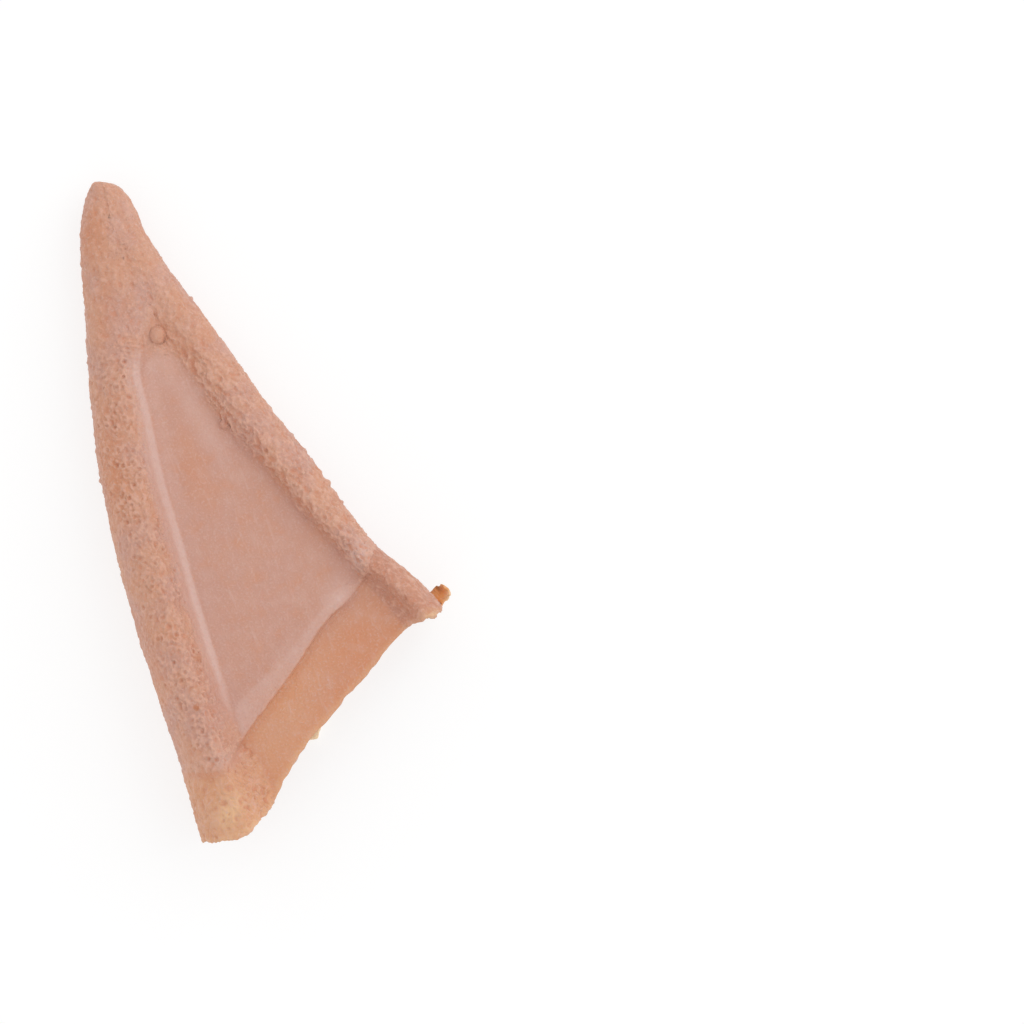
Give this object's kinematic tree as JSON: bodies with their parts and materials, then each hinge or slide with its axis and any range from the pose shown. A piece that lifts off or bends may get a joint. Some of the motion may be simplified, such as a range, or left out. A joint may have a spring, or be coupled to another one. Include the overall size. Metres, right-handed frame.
{
  "type": "latex costume ear",
  "caption": "Hollow, pointed costume ear cast in flesh-coloured latex, open along its cut base so that it slips over the wearer's own ear.",
  "frame": {"origin": "under the middle of the ear's bounding box, on the surface that its flat back lies on", "axes": "+Y along the ear towards its tip, +Z out of the sculpted front, +X towards the right corner of the cut base"},
  "size_m": [0.0752, 0.1326, 0.0218],
  "materials": {
    "latex": "matte, pitted skin with a little powder bloom, oranger where it is thin"
  },
  "bodies": {
    "root": {"latex_ear": "latex"}
  },
  "joints": []
}
